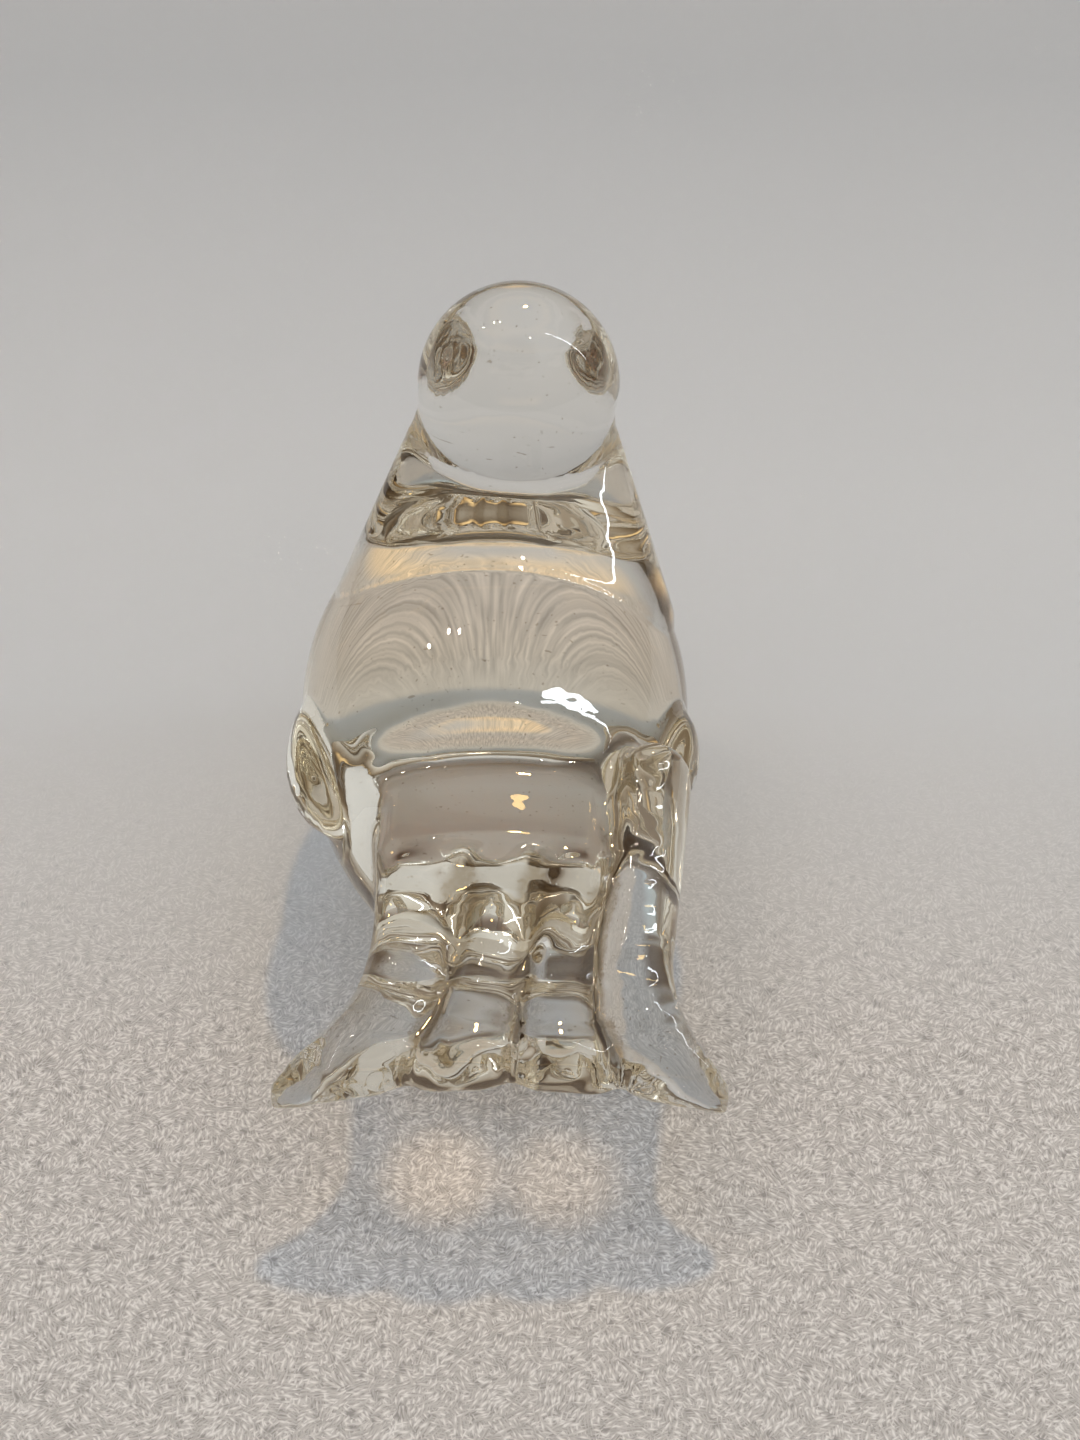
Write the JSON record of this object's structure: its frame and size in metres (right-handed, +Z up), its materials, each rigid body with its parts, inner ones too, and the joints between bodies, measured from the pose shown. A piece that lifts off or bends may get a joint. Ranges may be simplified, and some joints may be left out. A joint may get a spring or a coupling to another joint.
{
  "type": "glass bird paperweight",
  "caption": "Solid clear glass bird paperweight with a ball head, small beak, pinched wing tips, a flat tail root and a ribbed fan tail, standing on a flat foot.",
  "frame": {"origin": "on the flat foot, straight under the middle of the body's egg", "axes": "+Z up, +Y the way the bird faces, +X to the bird's right; the tail runs back along -Y"},
  "size_m": [0.0634, 0.1224, 0.0831],
  "materials": {
    "clear_glass": "fire polished, clear, with a very faint warm tint"
  },
  "bodies": {
    "root": {"body": "clear_glass", "neck": "clear_glass", "head": "clear_glass", "beak": "clear_glass", "wing_left": "clear_glass", "wing_right": "clear_glass", "tail_root": "clear_glass", "tail_rib_outer_left": "clear_glass", "tail_rib_inner_left": "clear_glass", "tail_rib_inner_right": "clear_glass", "tail_rib_outer_right": "clear_glass"}
  },
  "joints": []
}
